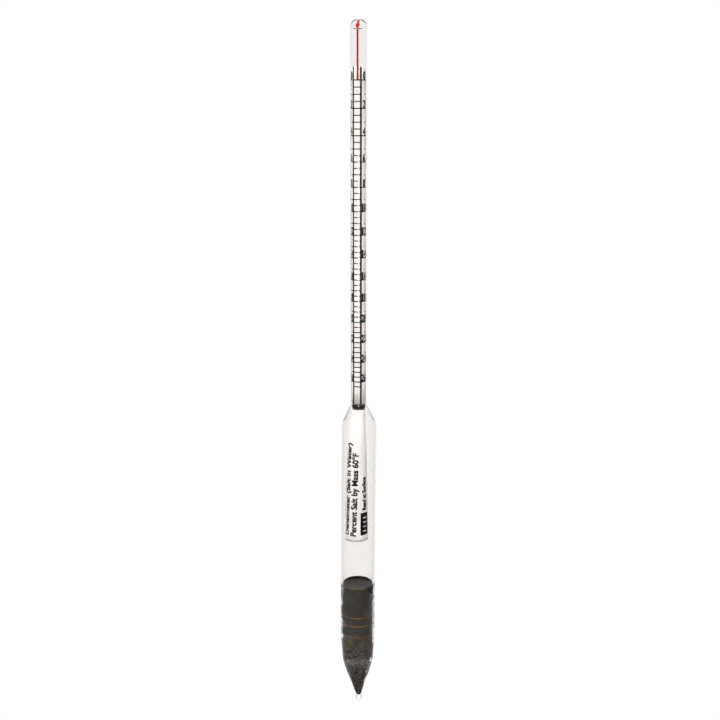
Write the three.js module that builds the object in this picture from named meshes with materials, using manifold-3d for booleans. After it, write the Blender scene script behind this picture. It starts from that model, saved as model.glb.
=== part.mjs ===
// A glass hydrometer for brine, built as the real one is: a closed stem welded to a weighted
// float, with a rolled paper scale and a rolled paper legend sealed inside.
// Millimetres, +Z up. The origin is the lowest point of the glass tip, on the axis. The front,
// where the scale and the legend are read, faces -Y.
import * as THREE from "three";
import Module from "manifold-3d";
import { mergeVertices } from "three/addons/utils/BufferGeometryUtils.js";

const TOTAL_HEIGHT = 305;
const AROUND = 32; // facets round the axis
const FRONT = -Math.PI / 2; // direction of the front, as an angle about the axis

// Stem: a thin tube with a round closed top.
const STEM_RADIUS = 3.55;
const STEM_BORE = 3.25;
const DOME_GLASS = 0.7; // thickness of the closed top, on the axis
const WELD_Z = 142; // where the stem is welded to the body

// Body: a wider tube with a cone shoulder, a slight bulge under it, and a nose drawn to a bead.
const BODY_RADIUS = 7.8;
const BODY_BORE = 6.85;
const BULGE = 0.13;
const BULGE_START_Z = 116;
const SHOULDER_Z = 131.6;
const NOSE_TOP_Z = 34;
const BORE_NOSE_TOP_Z = 31.5;

// Paper: sheets rolled a little over one turn.
const PAPER = 0.12;
const ROLL_PITCH = 0.2; // how much a roll closes in over one turn
const ROLL_TURNS = 1.08;
const SCALE_TOP_Z = 285.6;
const SCALE_BOTTOM_Z = 141.6;
const SCALE_ROLL_RADIUS = 3.13;
const LEGEND_TOP_Z = 138.7;
const LEGEND_BOTTOM_Z = 79;
const LEGEND_TOP_RADIUS = 2.86;
const LEGEND_BOTTOM_RADIUS = 5;
const LEGEND_FLARE = 2.6; // how late the legend's roll narrows, going up
const LEGEND_ROWS = 6; // flat facets from its lower end to its upper end
const LEGEND_LEAN = -0.9; // its lower end rests towards -X

// Ring of black cement that holds both rolls in the throat.
const BAND_RADIUS = 2.95;
const BAND_BORE = 2.35;
const BAND_BOTTOM_Z = 138.9;
const BAND_TOP_Z = 141.3;

// Enamel on the outside of the stem: a line down to the scale's zero, a cross tick and a bead.
const ENAMEL = 0.15;
const FILM_GAP = 0.05;
const ZERO_Z = 280.1;
const TICK_BOTTOM_Z = 300.5;
const TICK_TOP_Z = 300.9;
const LINE_WIDTH = 0.7;
const LINE_X = -0.42;
const TICK_LEFT_X = -2.1;
const TICK_RIGHT_X = 1.5;
const BEAD_HALF = new THREE.Vector3(0.9, 0.5, 1.62);
const BEAD_CENTRE = new THREE.Vector3(-0.1, -3.33, 302.7);
const BEAD_TILT = THREE.MathUtils.degToRad(20);

// Ballast: shot set in the nose, under three pours of dark wax.
const FILL_GAP = 0.1;
const SHOT_TOP_Z = 33.9;
const POUR_LINES_Z = [34.1, 39.2, 43.2];
const WAX_TOP_Z = 57.5;
const POUR_GAP = 0.1;
const EDGE_ROUND = 0.4;
const MENISCUS = 1.4;

const point = (radius, z) => new THREE.Vector2(radius, z);

// A solid turned about Z. The profile runs up the outside, and back down the inside or the axis.
function turned(profile) {
  return new THREE.LatheGeometry(profile, AROUND).rotateX(Math.PI / 2);
}

function bend(from, corner, to, divisions = 3) {
  return new THREE.QuadraticBezierCurve(from, corner, to).getPoints(divisions);
}

// The nose's outside, from the tip up: a small bead, a waist, then a swelling cone.
function noseOutside() {
  return new THREE.SplineCurve([
    point(0, 0),
    point(1.05, 0.42),
    point(1.43, 1.35),
    point(1.26, 2.7),
    point(1.85, 5),
    point(3.4, 10.1),
    point(5.4, 15.3),
    point(6.75, 20.4),
    point(7.3, 26.5),
    point(BODY_RADIUS, NOSE_TOP_Z),
  ]).getPoints(18);
}

// The nose's inside, from the bore down to its blind end above the bead.
function noseInside() {
  return new THREE.SplineCurve([
    point(BODY_BORE, BORE_NOSE_TOP_Z),
    point(6.4, 26),
    point(5.75, 20.8),
    point(4.45, 15.9),
    point(2.55, 10.6),
    point(1.05, 5.4),
    point(0.6, 3.5),
    point(0, 2.9),
  ]).getPoints(14);
}

function bodyTube() {
  const bulged = BODY_RADIUS + BULGE;
  const profile = [
    ...noseOutside(),
    point(BODY_RADIUS, BULGE_START_Z),
    ...bend(point(bulged, SHOULDER_Z - 2), point(bulged, SHOULDER_Z), point(7.4, 132.7)),
    ...bend(point(4, 139.8), point(STEM_RADIUS, 140.7), point(STEM_RADIUS, WELD_Z)),
    ...bend(point(STEM_BORE, WELD_Z), point(STEM_BORE, 140.5), point(3.75, 139.5)),
    ...bend(point(6.5, 132.5), point(7.05, 131.4), point(7.05, SHOULDER_Z - 2.2)),
    point(BODY_BORE, BULGE_START_Z),
    ...noseInside(),
  ];
  return turned(profile);
}

function stemTube() {
  const domeOutside = new THREE.EllipseCurve(
    0, TOTAL_HEIGHT - STEM_RADIUS, STEM_RADIUS, STEM_RADIUS, 0, Math.PI / 2,
  ).getPoints(7);
  const domeInside = new THREE.EllipseCurve(
    0, TOTAL_HEIGHT - STEM_RADIUS, STEM_BORE, STEM_RADIUS - DOME_GLASS, Math.PI / 2, 0, true,
  ).getPoints(7);
  return turned([
    point(STEM_RADIUS, WELD_Z),
    ...domeOutside,
    ...domeInside,
    point(STEM_BORE, WELD_Z),
    point(STEM_RADIUS, WELD_Z),
  ]);
}

// The end view of a sheet of paper rolled about the axis, its outer edge at the back.
function rollOutline(outerRadius) {
  const steps = Math.round(AROUND * ROLL_TURNS);
  const along = (k, inset) => {
    const turn = (k / steps) * ROLL_TURNS;
    const radius = outerRadius - ROLL_PITCH * turn - inset;
    const angle = -FRONT + turn * 2 * Math.PI;
    return point(radius * Math.cos(angle), radius * Math.sin(angle));
  };
  const outside = Array.from({ length: steps + 1 }, (_, k) => along(k, 0));
  const inside = Array.from({ length: steps + 1 }, (_, k) => along(steps - k, PAPER));
  return new THREE.Shape([...outside, ...inside]);
}

function extruded(shape, bottom, top, rows = 1) {
  const options = { depth: top - bottom, steps: rows, bevelEnabled: false };
  return new THREE.ExtrudeGeometry(shape, options).translate(0, 0, bottom);
}

function scaleRoll() {
  return extruded(rollOutline(SCALE_ROLL_RADIUS), SCALE_BOTTOM_Z, SCALE_TOP_Z);
}

// The legend's sheet is drawn in to the band at its upper end and has sprung open at its lower
// end. Its paper keeps its thickness.
function legendRoll() {
  const outline = rollOutline(LEGEND_BOTTOM_RADIUS);
  const geometry = extruded(outline, LEGEND_BOTTOM_Z, LEGEND_TOP_Z, LEGEND_ROWS);
  const place = geometry.getAttribute("position");
  const drawIn = LEGEND_BOTTOM_RADIUS - LEGEND_TOP_RADIUS;
  for (let i = 0; i < place.count; i++) {
    const [x, y, z] = [place.getX(i), place.getY(i), place.getZ(i)];
    const up = Math.min(1, (z - LEGEND_BOTTOM_Z) / (LEGEND_TOP_Z - LEGEND_BOTTOM_Z));
    const narrowed = up ** LEGEND_FLARE;
    const share = 1 - (narrowed * drawIn) / Math.hypot(x, y);
    place.setXY(i, x * share + (1 - narrowed) * LEGEND_LEAN, y * share);
  }
  return geometry;
}

function neckBand() {
  const height = BAND_TOP_Z - BAND_BOTTOM_Z;
  const swollen = new THREE.EllipseCurve(
    BAND_RADIUS - EDGE_ROUND, BAND_BOTTOM_Z + height / 2, EDGE_ROUND, height / 2,
    -Math.PI / 2, Math.PI / 2,
  ).getPoints(8);
  const bottom = point(BAND_BORE, BAND_BOTTOM_Z);
  return turned([bottom, ...swollen, point(BAND_BORE, BAND_TOP_Z), bottom.clone()]);
}

// A film of enamel on the stem, between two places across the front.
function enamelStrip(leftX, rightX, bottom, top) {
  const inner = STEM_RADIUS + FILM_GAP;
  const left = FRONT + Math.asin(leftX / inner);
  const right = FRONT + Math.asin(rightX / inner);
  const shape = new THREE.Shape();
  shape.absarc(0, 0, inner + ENAMEL, left, right, false);
  shape.absarc(0, 0, inner, right, left, true);
  return extruded(shape, bottom, top);
}

function datumLine() {
  return enamelStrip(
    LINE_X - LINE_WIDTH / 2, LINE_X + LINE_WIDTH / 2, ZERO_Z, TICK_BOTTOM_Z - FILM_GAP,
  );
}

function datumTick() {
  return enamelStrip(TICK_LEFT_X, TICK_RIGHT_X, TICK_BOTTOM_Z, TICK_TOP_Z);
}

const wasm = await Module();
wasm.setup();

function toSolid(geometry) {
  const bare = new THREE.BufferGeometry();
  bare.setAttribute("position", geometry.getAttribute("position"));
  bare.setIndex(geometry.index);
  const merged = mergeVertices(bare, 1e-4);
  return new wasm.Manifold(
    new wasm.Mesh({
      numProp: 3,
      vertProperties: merged.getAttribute("position").array,
      triVerts: new Uint32Array(merged.index.array),
    }),
  );
}

function toGeometry(solid) {
  const mesh = solid.getMesh();
  const geometry = new THREE.BufferGeometry();
  geometry.setAttribute("position", new THREE.BufferAttribute(mesh.vertProperties, 3));
  geometry.setIndex(new THREE.BufferAttribute(mesh.triVerts, 1));
  geometry.computeVertexNormals();
  return geometry;
}

// A drop of enamel, flat against the dome and leaning to the right.
function datumBead() {
  const drop = new THREE.SphereGeometry(1, 16, 12)
    .rotateX(Math.PI / 2)
    .scale(BEAD_HALF.x, BEAD_HALF.y, BEAD_HALF.z)
    .rotateY(BEAD_TILT)
    .translate(BEAD_CENTRE.x, BEAD_CENTRE.y, BEAD_CENTRE.z);
  const dome = new THREE.SphereGeometry(STEM_RADIUS + FILM_GAP, 48, 32).translate(
    0, 0, TOTAL_HEIGHT - STEM_RADIUS,
  );
  const above = new THREE.BoxGeometry(6, 6, 6).translate(
    BEAD_CENTRE.x, BEAD_CENTRE.y, TICK_TOP_Z + FILM_GAP + 3,
  );
  return toGeometry(toSolid(drop).subtract(toSolid(dome)).intersect(toSolid(above)));
}

function ballastShot() {
  const side = noseInside()
    .reverse()
    .map((p) => point(Math.max(0, p.x - FILL_GAP), p.y + FILL_GAP))
    .filter((p, i) => (i === 0 || p.x > 0) && p.y < SHOT_TOP_Z - EDGE_ROUND);
  const radius = BODY_BORE - FILL_GAP - 0.05;
  return turned([
    ...side,
    point(radius, SHOT_TOP_Z - EDGE_ROUND),
    point(radius - EDGE_ROUND, SHOT_TOP_Z),
    point(0, SHOT_TOP_Z),
  ]);
}

// One pour of wax: a short plug with eased edges. Only the last pour shows its hollow top.
function waxPour(bottom, top, hollow) {
  const radius = BODY_BORE - FILL_GAP;
  const surface = bend(point(radius - EDGE_ROUND, top), point(radius * 0.55, top - hollow * 1.1),
    point(0, top - hollow), 6);
  return turned([
    point(0, bottom),
    point(radius - EDGE_ROUND, bottom),
    point(radius, bottom + EDGE_ROUND),
    point(radius, top - EDGE_ROUND),
    ...(hollow > 0 ? surface : [point(radius - EDGE_ROUND, top), point(0, top)]),
  ]);
}

function finish(color, roughness, options = {}) {
  return new THREE.MeshStandardMaterial({ color, roughness, metalness: 0, ...options });
}

const clearGlass = { transparent: true, opacity: 0.3, side: THREE.DoubleSide };
const group = new THREE.Group();

function add(name, geometry, material) {
  const mesh = new THREE.Mesh(geometry, material);
  mesh.name = name;
  group.add(mesh);
}

add("stem_tube", stemTube(), finish(0xf2f4f2, 0.05, clearGlass));
add("body_tube", bodyTube(), finish(0xf2f4f2, 0.05, clearGlass));
add("scale_roll", scaleRoll(), finish(0xf6f4f0, 0.8));
add("legend_roll", legendRoll(), finish(0xf4f1ee, 0.8));
add("neck_band", neckBand(), finish(0x171614, 0.45));
add("datum_line", datumLine(), finish(0xbf2422, 0.3));
add("datum_tick", datumTick(), finish(0x2a2220, 0.4));
add("datum_bead", datumBead(), finish(0xe82716, 0.2));
add("ballast_shot", ballastShot(), finish(0x48463f, 0.5, { metalness: 0.6 }));

const [LOWER_Z, MIDDLE_Z, UPPER_Z] = POUR_LINES_Z;
add("wax_lower", waxPour(LOWER_Z, MIDDLE_Z - POUR_GAP, 0), finish(0x3d3a35, 0.4));
add("wax_middle", waxPour(MIDDLE_Z, UPPER_Z - POUR_GAP, 0), finish(0x3a3936, 0.35));
add("wax_upper", waxPour(UPPER_Z, WAX_TOP_Z, MENISCUS), finish(0x383836, 0.25));

export default group;
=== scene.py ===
"""Looks of a glass brine hydrometer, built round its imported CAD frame.

Lengths are millimetres until piece() turns them into Blender's metres, and the setting's lengths
are metres from the start. Heights are above the glass tip. The scale and the legend face -Y.
"""

import math
import random

import bmesh
import bpy
from mathutils import Matrix, Vector, noise


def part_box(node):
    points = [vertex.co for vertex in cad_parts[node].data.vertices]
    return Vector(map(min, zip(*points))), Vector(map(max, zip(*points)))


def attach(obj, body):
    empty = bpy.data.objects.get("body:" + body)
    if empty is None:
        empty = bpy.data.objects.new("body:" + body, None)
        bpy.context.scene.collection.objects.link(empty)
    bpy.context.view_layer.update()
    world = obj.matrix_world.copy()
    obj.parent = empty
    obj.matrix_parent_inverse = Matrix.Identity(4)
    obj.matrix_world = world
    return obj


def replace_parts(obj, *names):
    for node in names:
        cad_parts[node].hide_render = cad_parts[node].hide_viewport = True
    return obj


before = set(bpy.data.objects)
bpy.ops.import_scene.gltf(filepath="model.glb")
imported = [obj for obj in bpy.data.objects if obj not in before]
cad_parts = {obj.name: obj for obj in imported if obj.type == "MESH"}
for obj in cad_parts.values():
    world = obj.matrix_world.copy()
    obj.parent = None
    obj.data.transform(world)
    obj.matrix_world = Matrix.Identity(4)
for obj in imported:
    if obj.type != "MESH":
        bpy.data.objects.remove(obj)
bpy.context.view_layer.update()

MM = 0.001
BODY = "root"


def node_mm(node):
    low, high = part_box(node)
    return low / MM, high / MM


# ---------------------------------------------------------------- sizes from the frame
STEM_LOW, STEM_HIGH = node_mm("stem_tube")
_, BODY_HIGH = node_mm("body_tube")
SCALE_LOW, SCALE_HIGH = node_mm("scale_roll")
LEGEND_LOW, LEGEND_HIGH = node_mm("legend_roll")
BAND_LOW, BAND_HIGH = node_mm("neck_band")
LINE_LOW, LINE_HIGH = node_mm("datum_line")
TICK_LOW, TICK_HIGH = node_mm("datum_tick")
BEAD_LOW, BEAD_HIGH = node_mm("datum_bead")
SHOT_LOW, SHOT_HIGH = node_mm("ballast_shot")
LOWER_LOW, LOWER_HIGH = node_mm("wax_lower")
MIDDLE_LOW, MIDDLE_HIGH = node_mm("wax_middle")
UPPER_LOW, UPPER_HIGH = node_mm("wax_upper")

STEM_R = STEM_HIGH.x
WELD_Z = STEM_LOW.z
TOP_Z = STEM_HIGH.z
BULGE_R = BODY_HIGH.x
FILL_GAP = 0.1  # how far the frame's fills stand clear of the glass
WAX_R = UPPER_HIGH.x + FILL_GAP

# Glass that the frame's boxes don't give
STEM_BORE = 3.25
DOME_GLASS = 0.7
BODY_R = 7.8
BODY_BORE = 6.85
SHOULDER_Z = WELD_Z - 10.4
SHOULDER_R = 7.4
SHOULDER_BORE = 6.5
CONE_TOP_R = 4.0
CONE_TOP_BORE = 3.75
NOSE_TOP_Z = 34.0
BORE_NOSE_TOP_Z = 31.5
BULGE_START_Z = 116
CONTACT = 0.03  # how far a fill that wets the glass laps into it, so that no air film shows

# Paper and print: thicknesses, the rolls' radii, and how far the legend's foot is off the axis
PAPER = 0.1
INK = 0.02
SCALE_R = 3.12
LEGEND_LEAN = -0.95
LEGEND_TOP_R = 2.8
LEGEND_BOTTOM_R = 5.05

# Scale: divisions close up from the top to the bottom of the stem
ZERO_Z = LINE_LOW.z
FIRST_STEP = 5.886
CLOSING = 0.0485
EASING = 0.000465
LAST_MARK = 26.5

# Across the scale, in millimetres round the roll from its front towards +X
LADDER_LEFT = -2.26
LADDER_RIGHT = 0.96
LEFT_RAIL_HALF = 0.34
RIGHT_RAIL_HALF = 0.40
EVEN_LEFT = -4.2
EVEN_RIGHT = 3.5
ODD_LEFT = -3.5
DOT_LEFT = 2.7
DOT_WIDTH = 0.4
DOT_HALF_HEIGHT = 0.3
NUMERAL_MIDDLES = (-3.4, 2.5)
STRAY_SPECK = (-0.75, -0.4, ZERO_Z - 4.8, ZERO_Z - 4.4)


def mark_height(percent):
    return ZERO_Z - FIRST_STEP * percent + CLOSING * percent**2 - EASING * percent**3


def smooth_through(*knots):
    """A smooth function of height through (height, value) knots, flat beyond the ends."""
    def slope(i):
        (z0, v0), (z1, v1) = knots[max(i - 1, 0)], knots[min(i + 1, len(knots) - 1)]
        return (v1 - v0) / (z1 - z0)

    def value(z):
        if z <= knots[0][0]:
            return knots[0][1]
        for i, ((z0, v0), (z1, v1)) in enumerate(zip(knots, knots[1:])):
            if z <= z1:
                t, h = (z - z0) / (z1 - z0), z1 - z0
                ease = t * t * (3 - 2 * t)
                bend = h * (slope(i) * t * (1 - t) ** 2 - slope(i + 1) * t * t * (1 - t))
                return v0 + (v1 - v0) * ease + bend
        return knots[-1][1]

    return value


# The body was drawn and welded by hand, and sits a hair out of line with the stem
bow = smooth_through(
    (0, 0.08), (12, -0.35), (40, -0.45), (70, -0.36), (106, -0.1), (131, 0.22), (142, 0), (305, 0)
)
legend_radius = smooth_through(
    (79, LEGEND_BOTTOM_R), (96, 4.9), (106.5, 4.68), (124.5, 4.05), (138.7, LEGEND_TOP_R)
)


# ---------------------------------------------------------------- camera
CAMERA_DISTANCE = 549.0
CAMERA_ELEVATION = math.radians(12)
AIM = Vector((0.6, 0, 160.8))
LENS = 62.9


def make_camera():
    data = bpy.data.cameras.new("camera")
    data.lens = LENS
    data.sensor_width = 36
    data.clip_start = 0.01
    camera = bpy.data.objects.new("camera", data)
    bpy.context.scene.collection.objects.link(camera)
    back = Vector((0, -math.cos(CAMERA_ELEVATION), math.sin(CAMERA_ELEVATION)))
    camera.location = (AIM + back * CAMERA_DISTANCE) * MM
    camera.rotation_euler = back.to_track_quat("Z", "Y").to_euler()
    bpy.context.scene.camera = camera


make_camera()


# ---------------------------------------------------------------- material helpers
def new_material(name, **values):
    """A Principled material with constant sockets set by name, and its node tree and shader."""
    material = bpy.data.materials.new(name)
    material.use_nodes = True
    tree = material.node_tree
    shader = tree.nodes["Principled BSDF"]
    for socket, value in values.items():
        shader.inputs[socket.replace("_", " ")].default_value = value
    return material, tree, shader


def noise_node(tree, scale, detail=4.0, roughness=0.55, stretch=(1, 1, 1)):
    """Noise over the piece's own coordinates, in features per metre."""
    place = tree.nodes.new("ShaderNodeTexCoord")
    mapping = tree.nodes.new("ShaderNodeMapping")
    mapping.inputs["Scale"].default_value = stretch
    texture = tree.nodes.new("ShaderNodeTexNoise")
    texture.inputs["Scale"].default_value = scale
    texture.inputs["Detail"].default_value = detail
    texture.inputs["Roughness"].default_value = roughness
    tree.links.new(place.outputs["Object"], mapping.inputs["Vector"])
    tree.links.new(mapping.outputs["Vector"], texture.inputs["Vector"])
    return texture


def ramp(tree, source, stops):
    node = tree.nodes.new("ShaderNodeValToRGB")
    elements = node.color_ramp.elements
    while len(elements) < len(stops):
        elements.new(0.5)
    for element, (position, color) in zip(elements, stops):
        element.position = position
        element.color = (*color, 1)
    tree.links.new(source, node.inputs["Fac"])
    return node.outputs["Color"]


def map_range(tree, source, low, high):
    node = tree.nodes.new("ShaderNodeMapRange")
    node.inputs["From Min"].default_value = low
    node.inputs["From Max"].default_value = high
    tree.links.new(source, node.inputs["Value"])
    return node.outputs["Result"]


def grey(value):
    return (value, value, value)


def add_bump(tree, shader, height, strength, distance):
    bump = tree.nodes.new("ShaderNodeBump")
    bump.inputs["Strength"].default_value = strength
    bump.inputs["Distance"].default_value = distance
    tree.links.new(height, bump.inputs["Height"])
    tree.links.new(bump.outputs["Normal"], shader.inputs["Normal"])


def glass_material(name, tint, waviness):
    """Drawn glass: faint long ripples, no colour of its own but a trace of warmth."""
    material, tree, shader = new_material(
        name, Base_Color=(*tint, 1), Roughness=0.0, IOR=1.49, Transmission_Weight=1.0
    )
    ripples = noise_node(tree, 60, detail=2.0, roughness=0.4, stretch=(1, 1, 0.12))
    add_bump(tree, shader, ripples.outputs["Fac"], strength=waviness, distance=0.0004)
    return material


def paper_material(name, light, dark):
    """Smooth paper: clouded pulp, fine fibres standing in the surface."""
    material, tree, shader = new_material(name, Roughness=0.72, Specular_IOR_Level=0.3)
    clouds = noise_node(tree, 350, detail=5.0)
    color = ramp(tree, clouds.outputs["Fac"], [(0.3, dark), (0.7, light)])
    tree.links.new(color, shader.inputs["Base Color"])
    fibres = noise_node(tree, 2600, detail=6.0, roughness=0.65, stretch=(1, 1, 0.45))
    add_bump(tree, shader, fibres.outputs["Fac"], strength=0.25, distance=0.00005)
    return material


def ink_material(name, dark, light):
    """Printing ink, a little lighter where the paper's grain shows through."""
    material, tree, shader = new_material(name, Roughness=0.55, Specular_IOR_Level=0.15)
    grain = noise_node(tree, 3000)
    color = ramp(tree, grain.outputs["Fac"], [(0.35, dark), (0.75, light)])
    tree.links.new(color, shader.inputs["Base Color"])
    return material


def glossy_material(name, dark, light, scale, roughness, bump, **values):
    """A moulded or poured surface: two close tones in clouds, and a soft unevenness."""
    material, tree, shader = new_material(name, Roughness=roughness, **values)
    clouds = noise_node(tree, scale, detail=5.0)
    color = ramp(tree, clouds.outputs["Fac"], [(0.35, dark), (0.68, light)])
    tree.links.new(color, shader.inputs["Base Color"])
    lumps = noise_node(tree, scale * 2.3, detail=3.0)
    add_bump(tree, shader, lumps.outputs["Fac"], strength=bump, distance=0.0001)
    return material


GLASS = glass_material("clear_glass", tint=(0.995, 0.978, 0.964), waviness=0.02)
SCALE_PAPER = paper_material("scale_paper", light=(0.88, 0.86, 0.83), dark=(0.84, 0.815, 0.785))
LEGEND_PAPER = paper_material("legend_paper", light=(0.86, 0.84, 0.825), dark=(0.82, 0.80, 0.78))
INK_BLACK = ink_material("black_ink", dark=(0.0015, 0.0015, 0.002), light=(0.006, 0.0055, 0.006))
INK_BROWN = ink_material("brown_black_ink", dark=(0.016, 0.003, 0.003), light=(0.045, 0.011, 0.011))
CEMENT = glossy_material(
    "black_cement", dark=(0.004, 0.004, 0.003), light=(0.014, 0.012, 0.008),
    scale=900, roughness=0.45, bump=0.5, Specular_IOR_Level=0.2,
)
RED = glossy_material(
    "red_enamel", dark=(0.14, 0.001, 0.001), light=(0.18, 0.002, 0.002),
    scale=500, roughness=0.4, bump=0.15, Specular_IOR_Level=0.04,
)
BRIGHT_RED = glossy_material(
    "red_enamel_drop", dark=(0.24, 0.002, 0.001), light=(0.30, 0.004, 0.002),
    scale=500, roughness=0.4, bump=0.1, Specular_IOR_Level=0.05,
)
DARK_ENAMEL = glossy_material(
    "dark_enamel", dark=(0.03, 0.018, 0.014), light=(0.07, 0.035, 0.028),
    scale=900, roughness=0.3, bump=0.15,
)
WAX = glossy_material(
    "dark_wax", dark=(0.020, 0.0205, 0.018), light=(0.036, 0.034, 0.030),
    scale=260, roughness=0.45, bump=0.35, Specular_IOR_Level=0.2,
)
# A near-black copy of the plug's wax for the film and smears on the glass: its extra darkness is painted
# shade, standing in for light that does not reach them
WAX_PAINTED_SHADE = glossy_material(
    "wax_painted_shade", dark=(0.004, 0.0038, 0.0035), light=(0.011, 0.009, 0.008),
    scale=500, roughness=0.35, bump=0.2, Specular_IOR_Level=0.1,
)
WAX_EDGE = glossy_material(
    "brown_wax_edge", dark=(0.07, 0.038, 0.016), light=(0.24, 0.14, 0.06),
    scale=700, roughness=0.4, bump=0.3, Specular_IOR_Level=0.2,
)


# The shot settled up to SETTLED_Z, give or take SETTLED_BLUR, with plain binder above it
SETTLED_Z = 29.0
SETTLED_BLUR = 1.5
GRAINS_PER_METRE = 1900
GRAIN_TONES = [
    (0.0, (0.008, 0.008, 0.007)), (0.3, (0.02, 0.0205, 0.017)), (0.55, (0.05, 0.05, 0.040)),
    (0.8, (0.10, 0.099, 0.078)), (0.93, (0.10, 0.035, 0.03)),
]


def ballast_material(name, packed):
    """Grains of mixed tone. Unless it is packed shot, plain brown binder shows above SETTLED_Z."""
    material, tree, shader = new_material(name, Roughness=0.5, Specular_IOR_Level=0.15)
    place = tree.nodes.new("ShaderNodeTexCoord")
    cells = tree.nodes.new("ShaderNodeTexVoronoi")
    cells.inputs["Scale"].default_value = GRAINS_PER_METRE
    tree.links.new(place.outputs["Object"], cells.inputs["Vector"])
    split = tree.nodes.new("ShaderNodeSeparateColor")
    tree.links.new(cells.outputs["Color"], split.inputs["Color"])
    grains = ramp(tree, split.outputs["Red"], GRAIN_TONES)
    add_bump(tree, shader, cells.outputs["Distance"], strength=0.5, distance=-0.0002)
    if packed:
        tree.links.new(grains, shader.inputs["Base Color"])
        return material
    clouds = noise_node(tree, 330, detail=5.0)
    binder = ramp(
        tree, clouds.outputs["Fac"], [(0.35, (0.034, 0.029, 0.018)), (0.68, (0.085, 0.070, 0.046))]
    )
    height = tree.nodes.new("ShaderNodeSeparateXYZ")
    tree.links.new(place.outputs["Object"], height.inputs["Vector"])
    clear, full = (SETTLED_Z + SETTLED_BLUR) * MM, (SETTLED_Z - SETTLED_BLUR) * MM
    settled = map_range(tree, height.outputs["Z"], clear, full)
    share = tree.nodes.new("ShaderNodeMix")
    share.data_type = "RGBA"
    tree.links.new(settled, share.inputs["Factor"])
    tree.links.new(binder, share.inputs["A"])
    tree.links.new(grains, share.inputs["B"])
    tree.links.new(share.outputs["Result"], shader.inputs["Base Color"])
    return material


BINDER = ballast_material("shot_in_binder", packed=False)
SHOT = ballast_material("blued_shot", packed=True)


# ---------------------------------------------------------------- mesh helpers
def piece(name, mesh, material, smooth=True):
    """A finished piece of the object: in metres, on the one body, with its finish."""
    for vertex in mesh.vertices:
        vertex.co.x += bow(vertex.co.z)
    mesh.transform(Matrix.Scale(MM, 4))
    mesh.polygons.foreach_set("use_smooth", [smooth] * len(mesh.polygons))
    mesh.materials.clear()
    mesh.materials.append(material)
    mesh.update()
    made = bpy.data.objects.new(name, mesh)
    bpy.context.scene.collection.objects.link(made)
    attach(made, BODY)
    return made


def mesh_from(vertices, faces):
    mesh = bpy.data.meshes.new("piece")
    mesh.from_pydata(vertices, [], faces)
    mesh.validate()
    return mesh


def curve_through(points, per_span=6):
    """A Catmull-Rom curve through (radius, height) points."""
    points = [Vector(p) for p in points]
    padded = [points[0] * 2 - points[1], *points, points[-1] * 2 - points[-2]]
    made = []
    for a, b, c, d in zip(padded, padded[1:], padded[2:], padded[3:]):
        for k in range(per_span):
            t = k / per_span
            made.append(
                0.5 * (2 * b + (c - a) * t + (2 * a - 5 * b + 4 * c - d) * t * t
                       + (3 * b - a - 3 * c + d) * t**3)
            )
    return [(max(0.0, p.x), p.y) for p in [*made, points[-1]]]


def corner(start, middle, end, steps=6):
    """A rounded corner: a quadratic curve."""
    a, b, c = Vector(start), Vector(middle), Vector(end)
    curve = []
    for k in range(steps + 1):
        t = k / steps
        curve.append(tuple(a * (1 - t) ** 2 + b * 2 * t * (1 - t) + c * t * t))
    return curve


def straight(start, end, steps):
    a, b = Vector(start), Vector(end)
    return [tuple(a.lerp(b, k / steps)) for k in range(1, steps)]


def turned(profile, around=72, shape=None, flip=False, closed=False):
    """Vertices and faces of a profile of (radius, height) points turned about Z.

    shape(radius, angle, height) may move a point's radius. A point on the axis becomes a pole."""
    vertices, rings = [], []
    for radius, height in profile:
        if radius < 1e-6:
            rings.append([len(vertices)])
            vertices.append((0, 0, height))
            continue
        ring = []
        for k in range(around):
            angle = 2 * math.pi * k / around
            r = shape(radius, angle, height) if shape else radius
            ring.append(len(vertices))
            vertices.append((r * math.sin(angle), -r * math.cos(angle), height))
        rings.append(ring)
    faces = []
    pairs = list(zip(rings, rings[1:])) + ([(rings[-1], rings[0])] if closed else [])
    for low, high in pairs:
        for k in range(around):
            n = (k + 1) % around
            face = [low[k % len(low)], low[n % len(low)], high[n % len(high)], high[k % len(high)]]
            face = list(dict.fromkeys(face))
            if len(face) > 2:
                faces.append(face[::-1] if flip else face)
    return vertices, faces


def joined(*parts):
    vertices, faces = [], []
    for part_vertices, part_faces in parts:
        start = len(vertices)
        vertices += part_vertices
        faces += [[start + i for i in face] for face in part_faces]
    return vertices, faces


# ---------------------------------------------------------------- glass envelope
NOSE_OUTSIDE = [
    (0, 0), (0.8, 0.22), (1.43, 1.35), (1.26, 2.7), (1.85, 5), (3.4, 10.1), (5.4, 15.3),
    (6.75, 20.4), (7.3, 26.5), (BODY_R, NOSE_TOP_Z),
]
NOSE_INSIDE = [
    (0, 2.9), (0.6, 3.5), (1.05, 5.4), (2.55, 10.6), (4.45, 15.9), (5.75, 20.8), (6.4, 26),
    (BODY_BORE, BORE_NOSE_TOP_Z),
]


def glass_shape(radius, angle, height):
    """Hand-drawn glass: a trace of waviness, about nothing at the bead."""
    place = Vector((math.sin(angle) * 0.8, math.cos(angle) * 0.8, height / 14))
    return radius * (1 + 0.0035 * noise.noise(place))


def quarter_turn(steps=12):
    """Angles from 0 to a right angle."""
    return [math.pi / 2 * k / steps for k in range(steps + 1)]


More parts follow.
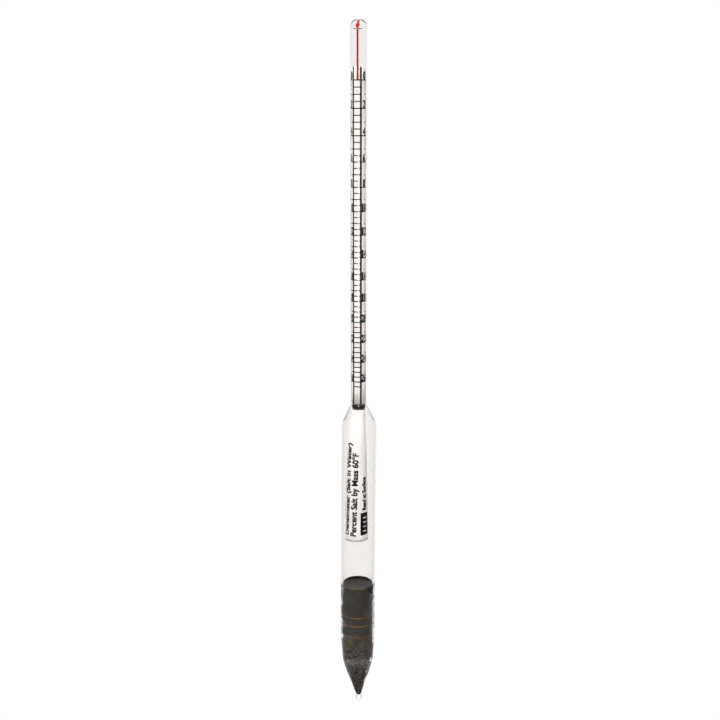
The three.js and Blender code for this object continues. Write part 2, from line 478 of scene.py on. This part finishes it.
def glass_outside():
    bulge = BULGE_R - 0.01
    cone_foot = (SHOULDER_R, SHOULDER_Z + 1.1)
    cone_top = (CONE_TOP_R, WELD_Z - 2.2)
    dome = [
        (STEM_R * math.cos(a), TOP_Z - STEM_R + STEM_R * math.sin(a)) for a in quarter_turn()
    ]
    return [
        *curve_through(NOSE_OUTSIDE),
        *straight((BODY_R, NOSE_TOP_Z), (BODY_R, BULGE_START_Z), 10),
        (BODY_R, BULGE_START_Z),
        *straight((BODY_R, BULGE_START_Z), (bulge, SHOULDER_Z - 2), 5),
        *corner((bulge, SHOULDER_Z - 2), (bulge, SHOULDER_Z), cone_foot),
        *straight(cone_foot, cone_top, 4),
        *corner(cone_top, (STEM_R, WELD_Z - 1.3), (STEM_R, WELD_Z)),
        *straight((STEM_R, WELD_Z), (STEM_R, TOP_Z - STEM_R), 18),
        *dome,
    ]


def glass_inside():
    throat = 7.05
    cone_foot = (SHOULDER_BORE, SHOULDER_Z + 0.9)
    cone_top = (CONE_TOP_BORE, WELD_Z - 2.5)
    crown_start = TOP_Z - STEM_R
    crown = [
        (STEM_BORE * math.cos(a), crown_start + (STEM_R - DOME_GLASS) * math.sin(a))
        for a in quarter_turn()
    ]
    return [
        *curve_through(NOSE_INSIDE),
        *straight((BODY_BORE, BORE_NOSE_TOP_Z), (BODY_BORE, BULGE_START_Z), 10),
        (BODY_BORE, BULGE_START_Z),
        *corner((throat, SHOULDER_Z - 2.2), (throat, SHOULDER_Z - 0.2), cone_foot),
        *straight(cone_foot, cone_top, 4),
        *corner(cone_top, (STEM_BORE, WELD_Z - 1.5), (STEM_BORE, WELD_Z)),
        *straight((STEM_BORE, WELD_Z), (STEM_BORE, crown_start), 18),
        *crown,
    ]


def make_glass():
    outside = turned(glass_outside(), shape=glass_shape)
    inside = turned(glass_inside(), shape=glass_shape, flip=True)
    envelope = piece("glass_envelope", mesh_from(*joined(outside, inside)), GLASS)
    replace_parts(envelope, "stem_tube", "body_tube")


# ---------------------------------------------------------------- rolled paper
def scale_radius(_height):
    return SCALE_R


def scale_centre(_height):
    return 0.0


def legend_centre(height):
    sprung = (legend_radius(height) - LEGEND_TOP_R) / (LEGEND_BOTTOM_R - LEGEND_TOP_R)
    return LEGEND_LEAN * min(1.0, 1.6 * sprung) - bow(height)


def rolled_sheet(bottom, top, radius, centre, seam, turns, rows):
    """A sheet of paper rolled a little over one turn.

    Its outer edge lies at the seam angle, counted from the front towards +X, and its inner edge
    tucks under it."""
    columns = 90
    tuck = PAPER + 0.08
    tuck_start, tuck_turns = 0.8, 0.2
    edge_lift, edge_turns = 0.05, 0.06

    def place(k, row, side):
        turn = turns * k / columns
        z = bottom + (top - bottom) * row / rows
        into = max(0.0, min(1.0, (turn - tuck_start) / tuck_turns))
        lift = edge_lift * max(0.0, 1 - turn / edge_turns)
        r = radius(z) - PAPER * side - tuck * into * into * (3 - 2 * into) + lift
        angle = seam - 2 * math.pi * turn
        return (centre(z) + r * math.sin(angle), -r * math.cos(angle), z)

    def index(k, row, side):
        return (k * (rows + 1) + row) * 2 + side

    vertices = [
        place(k, row, side)
        for k in range(columns + 1) for row in range(rows + 1) for side in (0, 1)
    ]
    faces = []
    for k in range(columns):
        for row in range(rows):
            outer = [
                index(k, row, 0), index(k, row + 1, 0), index(k + 1, row + 1, 0), index(k + 1, row, 0)
            ]
            faces += [outer, [i + 1 for i in reversed(outer)]]
        for row, turned_over in ((0, False), (rows, True)):
            edge = [index(k, row, 0), index(k + 1, row, 0), index(k + 1, row, 1), index(k, row, 1)]
            faces.append(edge[::-1] if turned_over else edge)
    for row in range(rows):
        for k, turned_over in ((0, True), (columns, False)):
            edge = [index(k, row, 0), index(k, row + 1, 0), index(k, row + 1, 1), index(k, row, 1)]
            faces.append(edge[::-1] if turned_over else edge)
    return mesh_from(vertices, faces)


def make_scale_sheet():
    scale = rolled_sheet(
        SCALE_LOW.z, SCALE_HIGH.z, scale_radius, scale_centre,
        seam=math.radians(168), turns=1.1, rows=24,
    )
    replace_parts(piece("scale_sheet", scale, SCALE_PAPER), "scale_roll")


def make_legend_sheet():
    legend = rolled_sheet(
        LEGEND_LOW.z, LEGEND_HIGH.z, legend_radius, legend_centre,
        seam=math.radians(84), turns=1.12, rows=40,
    )
    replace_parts(piece("legend_sheet", legend, LEGEND_PAPER), "legend_roll")


# ---------------------------------------------------------------- print, wrapped round the rolls
def flat_bar(bm, left, right, low, high):
    """A bar of ink on the flat sheet: u to the right along the sheet, v up."""
    corners = [
        bm.verts.new((u, v, w))
        for w in (0, INK) for u, v in ((left, low), (right, low), (right, high), (left, high))
    ]
    for face in ((3, 2, 1, 0), (4, 5, 6, 7), (0, 1, 5, 4), (1, 2, 6, 5), (2, 3, 7, 6), (3, 0, 4, 7)):
        bm.faces.new([corners[i] for i in face])


def text_mesh(text):
    """Closed letters as (vertices, faces), one font unit tall, standing on y = 0."""
    curve = bpy.data.curves.new("lettering", "FONT")
    curve.body = text
    curve.size = 1
    curve.offset = 0.012
    curve.extrude = 0.5
    curve.resolution_u = 4
    holder = bpy.data.objects.new("lettering", curve)
    bpy.context.scene.collection.objects.link(holder)
    evaluated = holder.evaluated_get(bpy.context.evaluated_depsgraph_get())
    mesh = bpy.data.meshes.new_from_object(evaluated)
    vertices = [v.co.copy() for v in mesh.vertices]
    faces = [list(p.vertices) for p in mesh.polygons]
    bpy.data.objects.remove(holder)
    bpy.data.curves.remove(curve)
    bpy.data.meshes.remove(mesh)
    return vertices, faces


CAP_HEIGHT = max(v.y for v in text_mesh("H")[0])


def lettering(text):
    """Letters with x from 0 to 1 over the line, and y from 0 at its foot to 1 at a capital's top."""
    vertices, faces = text_mesh(text)
    left = min(v.x for v in vertices)
    width = max(v.x for v in vertices) - left
    return [((v.x - left) / width, v.y / CAP_HEIGHT, v.z + 0.5) for v in vertices], faces


def flat_text(bm, letters, place):
    """Adds unit-box letters, with place(x, y) giving (u, v) on the sheet."""
    vertices, faces = letters
    made = [bm.verts.new((*place(x, y), z * INK)) for x, y, z in vertices]
    for face in faces:
        try:
            bm.faces.new([made[i] for i in face])
        except ValueError:  # the font gave the same face twice
            pass


def wrapped(bm, radius, centre, u_step, v_step=0.0, lift=0.012):
    """Cuts flat print into short strips, and wraps it round its roll, lift clear of the paper.

    The strips are u_step wide and, unless it is 0, v_step tall."""
    bmesh.ops.remove_doubles(bm, verts=bm.verts, dist=1e-4)
    for axis, step in ((0, u_step), (1, v_step)):
        if not step:
            continue
        low = min(v.co[axis] for v in bm.verts)
        high = max(v.co[axis] for v in bm.verts)
        normal = Vector((1, 0, 0)) if axis == 0 else Vector((0, 1, 0))
        for k in range(1, int((high - low) / step) + 1):
            everything = [*bm.verts, *bm.edges, *bm.faces]
            cut = normal * (low + k * step)
            bmesh.ops.bisect_plane(bm, geom=everything, plane_co=cut, plane_no=normal)
    for vertex in bm.verts:
        u, v, w = vertex.co
        r = radius(v)
        reach = r + lift + w
        vertex.co = (centre(v) + reach * math.sin(u / r), -reach * math.cos(u / r), v)
    mesh = bpy.data.meshes.new("print")
    bm.to_mesh(mesh)
    bm.free()
    return mesh


def make_scale_rails():
    bm = bmesh.new()
    for u, half in ((LADDER_LEFT, LEFT_RAIL_HALF), (LADDER_RIGHT, RIGHT_RAIL_HALF)):
        flat_bar(bm, u - half, u + half, BAND_HIGH.z + 0.4, SCALE_HIGH.z - 0.2)
    rails = wrapped(bm, scale_radius, scale_centre, u_step=0.3, lift=0.02)
    piece("scale_rails", rails, INK_BLACK, smooth=False)


def make_scale_rungs():
    """A rung each half percent, reaching out on the left at whole percents and both ways at even ones.

    Each odd percent has a dot on the right. One stray speck of ink is below 0."""
    bm = bmesh.new()
    for half in range(int(LAST_MARK * 2) + 1):
        v = mark_height(half / 2)
        thick = 0.23 if half % 4 else 0.25
        left, right = LADDER_LEFT, LADDER_RIGHT
        if half % 4 == 0:
            left, right = EVEN_LEFT, EVEN_RIGHT
        elif half % 2 == 0:
            left = ODD_LEFT
            flat_bar(bm, DOT_LEFT, DOT_LEFT + DOT_WIDTH, v - DOT_HALF_HEIGHT, v + DOT_HALF_HEIGHT)
        flat_bar(bm, left, right, v - thick, v + thick)
    flat_bar(bm, *STRAY_SPECK)
    rungs = wrapped(bm, scale_radius, scale_centre, u_step=0.3)
    piece("scale_rungs", rungs, INK_BROWN, smooth=False)


def struck(bm, letters, place, bold):
    """Print gone over four times a little apart, which makes it bold."""
    half = bold / 2
    for du, dv in ((-half, -half), (half, -half), (-half, half), (half, half)):
        def shifted(x, y):
            u, v = place(x, y)
            return u + du, v + dv

        flat_text(bm, letters, shifted)


def make_scale_numerals():
    """Each even percent, left and right of the ladder, standing on its line."""
    digit_width, digit_height, gap = 1.0, 3.1, 0.3
    digits = {d: lettering(d) for d in "0123456789"}
    bm = bmesh.new()
    for percent in range(0, int(LAST_MARK) + 1, 2):
        text = str(percent)
        v = mark_height(percent) + 0.16
        width = len(text) * digit_width + (len(text) - 1) * gap
        for middle in NUMERAL_MIDDLES:
            for k, digit in enumerate(text):
                left = middle - width / 2 + k * (digit_width + gap)
                narrow = 0.55 if digit == "1" else 1.0
                start = left + digit_width * (1 - narrow) / 2

                def place(x, y):
                    return start + x * digit_width * narrow, v + y * digit_height

                struck(bm, digits[digit], place, bold=0.3)
    numerals = wrapped(bm, scale_radius, scale_centre, u_step=0.25)
    piece("scale_numerals", numerals, INK_BLACK, smooth=False)


def upward_line(bm, text, bold, low, high, cap):
    """Text that reads upwards from low to high, both (u, v) ends of its foot line.

    Its letters' tops are to the left, cap from the foot line."""
    (u0, v0), (u1, v1) = low, high

    def place(x, y):
        return u0 + (u1 - u0) * x - cap * y, v0 + (v1 - v0) * x

    struck(bm, lettering(text), place, bold)


def legend_swatch(bm, left, right, low, high):
    """A plain black swatch with a row of light slots across its middle."""
    bars, slot, side = 5, 0.48, 1.3
    pitch = (high - low) / bars
    flat_bar(bm, left, left + side, low, high)
    flat_bar(bm, right - side, right, low, high)
    for k in range(bars):
        start = low + k * pitch
        flat_bar(bm, left + side, right - side, start, start + pitch - slot)
    flat_bar(bm, left + side, right - side, high - 0.6, high)


def make_legend_print():
    """Generic words for what is measured, and a swatch at the foot."""
    bm = bmesh.new()
    foot = LEGEND_LOW.z
    upward_line(
        bm, "Densimeter (Salt in Water)", bold=0.22,
        low=(-3.8, foot + 2.9), high=(-2.15, foot + 45.2), cap=2.1,
    )
    upward_line(
        bm, "Percent Salt by Mass 60°F", bold=0.2,
        low=(-0.25, foot + 2.6), high=(0.95, foot + 40.8), cap=2.5,
    )
    upward_line(
        bm, "Read at Surface", bold=0.2,
        low=(4.8, foot + 14.5), high=(4.6, foot + 29.6), cap=2.1,
    )
    legend_swatch(bm, left=1.8, right=6.2, low=foot + 2.9, high=foot + 13.3)
    print_mesh = wrapped(bm, legend_radius, legend_centre, u_step=0.35, v_step=1.2, lift=0.02)
    piece("legend_print", print_mesh, INK_BLACK, smooth=False)


# ---------------------------------------------------------------- cement band and enamel marks
def make_neck_band():
    """A lumpy ring of cement between the neck and the foot of the scale's roll."""
    radius, half_thick = 2.62, 0.34
    middle = (BAND_LOW.z + BAND_HIGH.z) / 2 + 0.1
    half = (BAND_HIGH.z - BAND_LOW.z) / 2 - 0.15

    def lumpy(reach, angle, height):
        lump = noise.noise(Vector((math.sin(angle) * 1.6, math.cos(angle) * 1.6, height * 0.9)))
        return reach + 0.07 * lump

    ring = [
        (
            radius + half_thick * math.cos(a),
            middle + half * math.sin(a) * (0.92 + 0.08 * math.cos(2 * a)),
        )
        for a in [2 * math.pi * k / 20 for k in range(20)]
    ]
    vertices, faces = turned(ring, 96, lumpy, closed=True)
    vertices = [
        (x, y, z + 0.16 * noise.noise(Vector((x * 0.9, y * 0.9, 3.1)))) for x, y, z in vertices
    ]
    band = piece("neck_cement", mesh_from(vertices, faces), CEMENT)
    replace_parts(band, "neck_band")


def on_stem(u, z, rise):
    """A point a little off the stem's outside: u round it to the right, z up it and over its dome."""
    climb = max(0.0, z - (TOP_Z - STEM_R))
    reach = math.sqrt(max(0.01, STEM_R**2 - climb**2)) * (1 + rise / STEM_R)
    return (reach * math.sin(u / STEM_R), -reach * math.cos(u / STEM_R), z + climb * rise / STEM_R)


def enamel_stroke(name, path, width, thickness, material, node):
    """A brush stroke along (u, z) points, flat on the glass and rounded across.

    width(share) is its width at a share of its length, and thickness is that of its middle."""
    ring = 16
    vertices, faces = [], []
    spots = [Vector(p) for p in path]
    last = len(spots) - 1
    for i, spot in enumerate(spots):
        along = (spots[min(i + 1, last)] - spots[max(i - 1, 0)]).normalized()
        side = Vector((along.y, -along.x)) * width(i / last) / 2
        for k in range(ring):
            a = 2 * math.pi * k / ring
            flat = spot + side * math.cos(a)
            vertices.append(on_stem(flat.x, flat.y, 0.01 + thickness * max(0.0, math.sin(a))))
    for i in range(last):
        for k in range(ring):
            n = (k + 1) % ring
            faces.append([i * ring + k, i * ring + n, (i + 1) * ring + n, (i + 1) * ring + k])
    faces.append(list(range(ring))[::-1])
    faces.append([last * ring + k for k in range(ring)])
    mesh = mesh_from(vertices, faces)
    bm = bmesh.new()
    bm.from_mesh(mesh)
    bmesh.ops.recalc_face_normals(bm, faces=bm.faces)
    bm.to_mesh(mesh)
    bm.free()
    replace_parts(piece(name, mesh, material), node)


def across_stem(x):
    """How far round the stem a point lies that stands x to the right of its axis."""
    return STEM_R * math.asin(x / (STEM_R + 0.2))


LINE_U = across_stem((LINE_LOW.x + LINE_HIGH.x) / 2)


def make_datum_line():
    top = BEAD_LOW.z + 0.4
    line = [(LINE_U + 0.015 * math.sin(k * 0.9), ZERO_Z + (top - ZERO_Z) * k / 40) for k in range(41)]

    def width(share):
        return 0.80 + 0.02 * math.sin(share * 23) - 8 * max(0.0, 0.03 - share)

    enamel_stroke("datum_stroke", line, width, 0.12, RED, "datum_line")


def make_datum_tick():
    left, right = across_stem(TICK_LOW.x), across_stem(TICK_HIGH.x)
    middle = (TICK_LOW.z + TICK_HIGH.z) / 2
    tick = [(left + (right - left) * k / 24, middle) for k in range(25)]

    def width(share):
        return 0.5 - 0.25 * abs(2 * share - 1) ** 3

    enamel_stroke("datum_cross", tick, width, 0.2, DARK_ENAMEL, "datum_tick")


def make_datum_bead():
    """A drop of enamel that leans to the right as it climbs the dome."""
    low, high = BEAD_LOW.z - 0.1, BEAD_HIGH.z - 0.1
    steps = [k / 24 for k in range(25)]
    drop = [(LINE_U - 0.15 + 0.1 * t + 0.75 * t * t, low + (high - low) * t) for t in steps]

    def width(share):
        return 0.5 + 1.35 * math.sin(math.pi * (0.04 + 0.94 * share))

    enamel_stroke("datum_drop", drop, width, 0.3, BRIGHT_RED, "datum_bead")


# ---------------------------------------------------------------- ballast
NOSE_CURVE = curve_through(NOSE_INSIDE)
GRAIN_COUNT = 1000
GRAIN_R = (0.24, 0.42)
VOID_SIDE = 80  # degrees from the front towards +X, where most of the voids are
VOID_SPREAD = 40
VOID_DEPTH = 0.6


def off_angle(angle, degrees):
    """How far an angle lies from a direction counted from the front towards +X, in radians."""
    gap = angle - math.radians(degrees)
    return math.atan2(math.sin(gap), math.cos(gap))


def nearness(angle, degrees, spread):
    """1 in a direction, falling to 0 at spread degrees on either side of it."""
    return max(0.0, 1 - (off_angle(angle, degrees) / math.radians(spread)) ** 2)


def bore_radius(height):
    for (r0, z0), (r1, z1) in zip(NOSE_CURVE, NOSE_CURVE[1:]):
        if z0 <= height <= z1:
            return r0 + (r1 - r0) * (height - z0) / (z1 - z0)
    return BODY_BORE


def unit_ball():
    bm = bmesh.new()
    bmesh.ops.create_icosphere(bm, subdivisions=2, radius=1)
    vertices = [v.co.copy() for v in bm.verts]
    faces = [[v.index for v in face.verts] for face in bm.faces]
    bm.free()
    return vertices, faces


def binder_shape(radius, angle, height):
    """Binder that wets the glass but for a few voids, most of them on the right."""
    place = Vector((radius * math.sin(angle), radius * math.cos(angle), height * 0.8))
    edge = 0.18 + 0.3 * min(1.0, abs(off_angle(angle, VOID_SIDE)) / math.radians(VOID_SPREAD))
    void = max(0.0, noise.noise(place * 0.9) - edge) * min(1.0, radius / 3)
    return max(0.02, radius - VOID_DEPTH * void)


def make_binder():
    side = [(r + CONTACT if r else 0.0, z) for r, z in NOSE_CURVE if z < SHOT_HIGH.z - 0.5]
    top = SHOT_HIGH.z
    profile = [*side, (BODY_BORE - 0.3, top), (WAX_R * 0.5, top), (0, top)]
    vertices, faces = turned(profile, 96, binder_shape)
    binder = piece("ballast_binder", mesh_from(vertices, faces), BINDER)
    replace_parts(binder, "ballast_shot")


def make_grains():
    """Shot that shows at the binder's surface, with few grains above the height where it settled."""
    dice = random.Random(7)
    ball_vertices, ball_faces = unit_ball()
    vertices, faces = [], []
    count = 0
    while count < GRAIN_COUNT:
        height = dice.uniform(SHOT_LOW.z + 0.3, SHOT_HIGH.z - 1.0)
        if dice.random() * WAX_R > bore_radius(height):
            continue
        if height > SETTLED_Z - 1 and dice.random() < 0.9:
            continue
        grain = dice.uniform(*GRAIN_R)
        angle = dice.uniform(0, 2 * math.pi)
        reach = bore_radius(height) - grain * dice.uniform(0.75, 1.1)
        if reach < 0.1:
            continue
        middle = Vector((reach * math.sin(angle), -reach * math.cos(angle), height))
        start = len(vertices)
        vertices += [middle + v * grain for v in ball_vertices]
        faces += [[start + i for i in face] for face in ball_faces]
        count += 1
    piece("ballast_grains", mesh_from(vertices, faces), SHOT)


# ---------------------------------------------------------------- wax
RECESS_SIDE = 84
RECESS_SPREAD = 34
RECESS_DEPTH = 0.3
SAG_SIDE = 52
SAG_SPREAD = 22
SAG_DROP = 3.0
SMEAR_DEPTH = 0.1
# Streaks and dots of wax left on the glass beside the plug, as (direction, width, low, high); they take
# the near-black wax, whose darkness beyond the plug's is painted shade
SMEARS = [
    (80, 2.6, 46.5, 56.0), (80, 2.2, 41.4, 48.6), (79, 1.6, 38.2, 41.9), (-80, 1.3, 52.5, 55.5),
    (64, 1.1, 53.2, 54.5), (-78, 1.2, 54.0, 55.3), (70, 0.9, 50.4, 51.8), (74, 0.8, 36.5, 38.2),
]


def side_recess(angle, height):
    """How far the wax has drawn back from the glass on the right, where bubbles were caught."""
    near = nearness(angle, RECESS_SIDE, RECESS_SPREAD)
    bubbles = noise.noise(Vector((off_angle(angle, RECESS_SIDE) * 3.1, 5.0, height * 0.55)))
    return RECESS_DEPTH * near * max(0.0, 0.1 + bubbles)


def wax_shape(radius, angle, height):
    """Wax is a little uneven round its side, and plain inside it."""
    if radius < WAX_R * 0.8:
        return radius
    place = Vector((math.sin(angle) * 1.3, math.cos(angle) * 1.3, height * 0.16))
    return radius + 0.02 * noise.noise(place) - side_recess(angle, height)


def pour(name, low, high, node, hollow=0.0):
    """One pour of wax. The last one shows its hollow top, climbing to a thin rim."""
    r, edge = WAX_R, 0.3
    foot = [(0.0, low), (r * 0.5, low), *corner((r - edge, low), (r, low), (r, low + edge), 3)]
    side = straight((r, low + edge), (r, high - edge), max(3, int((high - low) / 0.45)))
    if hollow:
        bowl = [
            (max(0.0, r * math.cos(a) - 0.1), high - hollow * math.sin(a) ** 0.6)
            for a in quarter_turn()[1:]
        ]
        lid = [(r, high - 0.12), (r - 0.06, high), *bowl]
    else:
        lid = [*corner((r, high - edge), (r, high), (r - edge, high), 3), (r * 0.5, high), (0.0, high)]
    made = piece(name, mesh_from(*turned([*foot, *side, *lid], 96, wax_shape)), WAX)
    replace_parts(made, node)


def wax_line(name, height, tall, deep, wander):
    """The thin brown edge of a pour, reaching tall above and below its height on the glass."""
    touch = BODY_BORE + CONTACT

    def uneven(radius, angle, z):
        if radius > touch - 0.01:
            gap = noise.noise(Vector((math.sin(angle) * 2, math.cos(angle) * 2, z)))
            return radius - 0.12 * max(0.0, gap)
        return radius

    ring = [
        (touch, height - tall), (touch, height + tall),
        (touch - deep, height + tall * 0.2), (touch - deep, height - tall * 0.4),
    ]
    vertices, faces = turned(ring, 120, uneven, closed=True)
    vertices = [
        (x, y, z + wander * noise.noise(Vector((x * 0.35, y * 0.35, height)))) for x, y, z in vertices
    ]
    piece(name, mesh_from(vertices, faces), WAX_EDGE)


def wax_film():
    """Where the last pour climbed the glass: a film, taller at the back and hanging on the right. Its
    near-black colour is painted shade.
    """
    top = UPPER_HIGH.z
    touch = BODY_BORE + CONTACT

    def edge(angle, z):
        return 0.12 * noise.noise(Vector((math.sin(angle) * 2.5, math.cos(angle) * 2.5, z)))

    vertices, faces = [], []
    around, rows = 144, 4
    for k in range(around):
        angle = 2 * math.pi * k / around
        sag = SAG_DROP * nearness(angle, SAG_SIDE, SAG_SPREAD)
        back = 0.5 - 0.5 * math.cos(angle)
        high = top + 0.05 + 0.75 * back + edge(angle, 1.0)
        low = top - 0.05 - 0.3 * back + edge(angle, 7.0) - sag
        for row in range(rows):
            z = high + (low - high) * row / (rows - 1)
            vertices.append((touch * math.sin(angle), -touch * math.cos(angle), z))
        for row in range(rows):
            z = low + (high - low) * row / (rows - 1)
            inset = BODY_BORE - 0.05 - 0.4 * (1 - row / (rows - 1))
            vertices.append((inset * math.sin(angle), -inset * math.cos(angle), z))
    ring = 2 * rows
    for k in range(around):
        n = (k + 1) % around
        for j in range(ring):
            i = (j + 1) % ring
            faces.append([k * ring + j, k * ring + i, n * ring + i, n * ring + j])
    piece("wax_film", mesh_from(vertices, faces), WAX_PAINTED_SHADE)


def wax_smears():
    vertices, faces = [], []
    rows = 18
    for direction, width, low, high in SMEARS:
        start = len(vertices)
        for row in range(rows + 1):
            t = row / rows
            z = low + (high - low) * t
            ragged = noise.noise(Vector((z * 1.7, direction, 0)))
            half = width / 2 * (0.15 + math.sqrt(math.sin(math.pi * t))) * (1 + 0.8 * ragged)
            middle = math.radians(direction) + 0.03 * noise.noise(Vector((z * 0.9, 4.0, direction)))
            for lap, sign in ((CONTACT, -1), (CONTACT, 1), (-SMEAR_DEPTH, 1), (-SMEAR_DEPTH, -1)):
                angle = middle + sign * half / BODY_BORE
                reach = BODY_BORE + lap
                vertices.append((reach * math.sin(angle), -reach * math.cos(angle), z))
        for row in range(rows):
            for k in range(4):
                n = (k + 1) % 4
                a, b = start + row * 4, start + (row + 1) * 4
                faces.append([a + k, a + n, b + n, b + k])
        faces.append([start + k for k in (3, 2, 1, 0)])
        faces.append([start + rows * 4 + k for k in range(4)])
    # The smears' near-black wax is painted shade
    piece("wax_smears", mesh_from(vertices, faces), WAX_PAINTED_SHADE)


def make_wax():
    pour("wax_pour_lower", LOWER_LOW.z, LOWER_HIGH.z, "wax_lower")
    pour("wax_pour_middle", MIDDLE_LOW.z, MIDDLE_HIGH.z, "wax_middle")
    pour("wax_pour_upper", UPPER_LOW.z, UPPER_HIGH.z, "wax_upper", hollow=1.5)
    wax_line("wax_edge_bottom", LOWER_LOW.z, tall=0.28, deep=0.3, wander=0.7)
    wax_line("wax_edge_lower", MIDDLE_LOW.z, tall=0.32, deep=0.3, wander=0.2)
    wax_line("wax_edge_middle", UPPER_LOW.z, tall=0.2, deep=0.22, wander=0.2)
    wax_line("wax_edge_top", UPPER_HIGH.z - 0.25, tall=0.26, deep=0.2, wander=0.25)
    wax_film()
    wax_smears()


# ---------------------------------------------------------------- setting, in metres
FLOOR_Z = -0.5
FLOOR_RADIUS = 0.8
# Shades of the floor by distance from its middle, which is dark so that the nose mirrors no light
FLOOR_SHADES = [(0.4, 0.035), (0.62, 0.3)]
# Brightness of the studio, from behind the camera (0) through the sides (0.5) to the backdrop (1)
STUDIO = [
    (0, 0.05), (0.25, 0.09), (0.5, 0.2), (0.75, 0.36),
    (0.82, 0.6), (0.87, 0.76), (0.93, 0.88), (0.977, 1.02),
]
CEILING = (0.5, 0.7)  # a direction's rise, as a sine, over which the walls fade to the white ceiling
LAMP_TARGET = (0, 0, 0.16)
FRONT_Z = 0.143


def area_light(name, place, target, size, energy):
    data = bpy.data.lights.new(name, "AREA")
    data.shape = "RECTANGLE"
    data.size, data.size_y = size
    data.energy = energy
    lamp = bpy.data.objects.new(name, data)
    bpy.context.scene.collection.objects.link(lamp)
    lamp.location = place
    lamp.rotation_euler = (Vector(target) - Vector(place)).to_track_quat("-Z", "Y").to_euler()
    lamp.visible_camera = False


def make_studio():
    """A studio that is bright behind the object, dark in front of it, and white overhead."""
    world = bpy.data.worlds.new("studio")
    bpy.context.scene.world = world
    world.use_nodes = True
    tree = world.node_tree
    place = tree.nodes.new("ShaderNodeTexCoord")
    level = tree.nodes.new("ShaderNodeVectorMath")
    level.operation = "MULTIPLY"
    level.inputs[1].default_value = (1, 1, 0)
    compass = tree.nodes.new("ShaderNodeVectorMath")
    compass.operation = "NORMALIZE"
    split = tree.nodes.new("ShaderNodeSeparateXYZ")
    tree.links.new(place.outputs["Generated"], level.inputs[0])
    tree.links.new(level.outputs["Vector"], compass.inputs[0])
    tree.links.new(compass.outputs["Vector"], split.inputs["Vector"])
    facing = map_range(tree, split.outputs["Y"], -1, 1)
    walls = ramp(tree, facing, [(share, grey(value)) for share, value in STUDIO])

    rise = tree.nodes.new("ShaderNodeSeparateXYZ")
    tree.links.new(place.outputs["Generated"], rise.inputs["Vector"])
    ceiling = tree.nodes.new("ShaderNodeMix")
    ceiling.data_type = "RGBA"
    ceiling.inputs["B"].default_value = (1, 1, 1, 1)
    tree.links.new(map_range(tree, rise.outputs["Z"], *CEILING), ceiling.inputs["Factor"])
    tree.links.new(walls, ceiling.inputs["A"])
    tree.links.new(ceiling.outputs["Result"], tree.nodes["Background"].inputs["Color"])


def make_floor():
    mesh = bpy.data.meshes.new("floor")
    bm = bmesh.new()
    bmesh.ops.create_circle(bm, cap_ends=True, segments=96, radius=FLOOR_RADIUS)
    bm.to_mesh(mesh)
    bm.free()
    floor = bpy.data.objects.new("floor", mesh)
    bpy.context.scene.collection.objects.link(floor)
    floor.location.z = FLOOR_Z

    material, tree, shader = new_material("pale_floor", Roughness=0.9)
    spot = tree.nodes.new("ShaderNodeTexCoord")
    spread = tree.nodes.new("ShaderNodeVectorMath")
    spread.operation = "LENGTH"
    tree.links.new(spot.outputs["Object"], spread.inputs[0])
    color = ramp(tree, spread.outputs["Value"], [(metres, grey(value)) for metres, value in FLOOR_SHADES])
    tree.links.new(color, shader.inputs["Base Color"])
    mesh.materials.append(material)


def make_setting():
    bpy.context.scene.view_settings.view_transform = "Standard"
    make_studio()
    make_floor()
    area_light("key", (-0.75, -1.10, 2.15), LAMP_TARGET, size=(1.2, 1.0), energy=250)
    area_light("fill", (0.85, -1.00, 2.15), LAMP_TARGET, size=(1.2, 1.0), energy=80)
    area_light("front", (-0.01, -0.60, FRONT_Z), (0, 0, FRONT_Z), size=(0.11, 0.16), energy=0.9)


make_glass()
make_scale_sheet()
make_legend_sheet()
make_scale_rails()
make_scale_rungs()
make_scale_numerals()
make_legend_print()
make_neck_band()
make_datum_line()
make_datum_tick()
make_datum_bead()
make_binder()
make_grains()
make_wax()
make_setting()
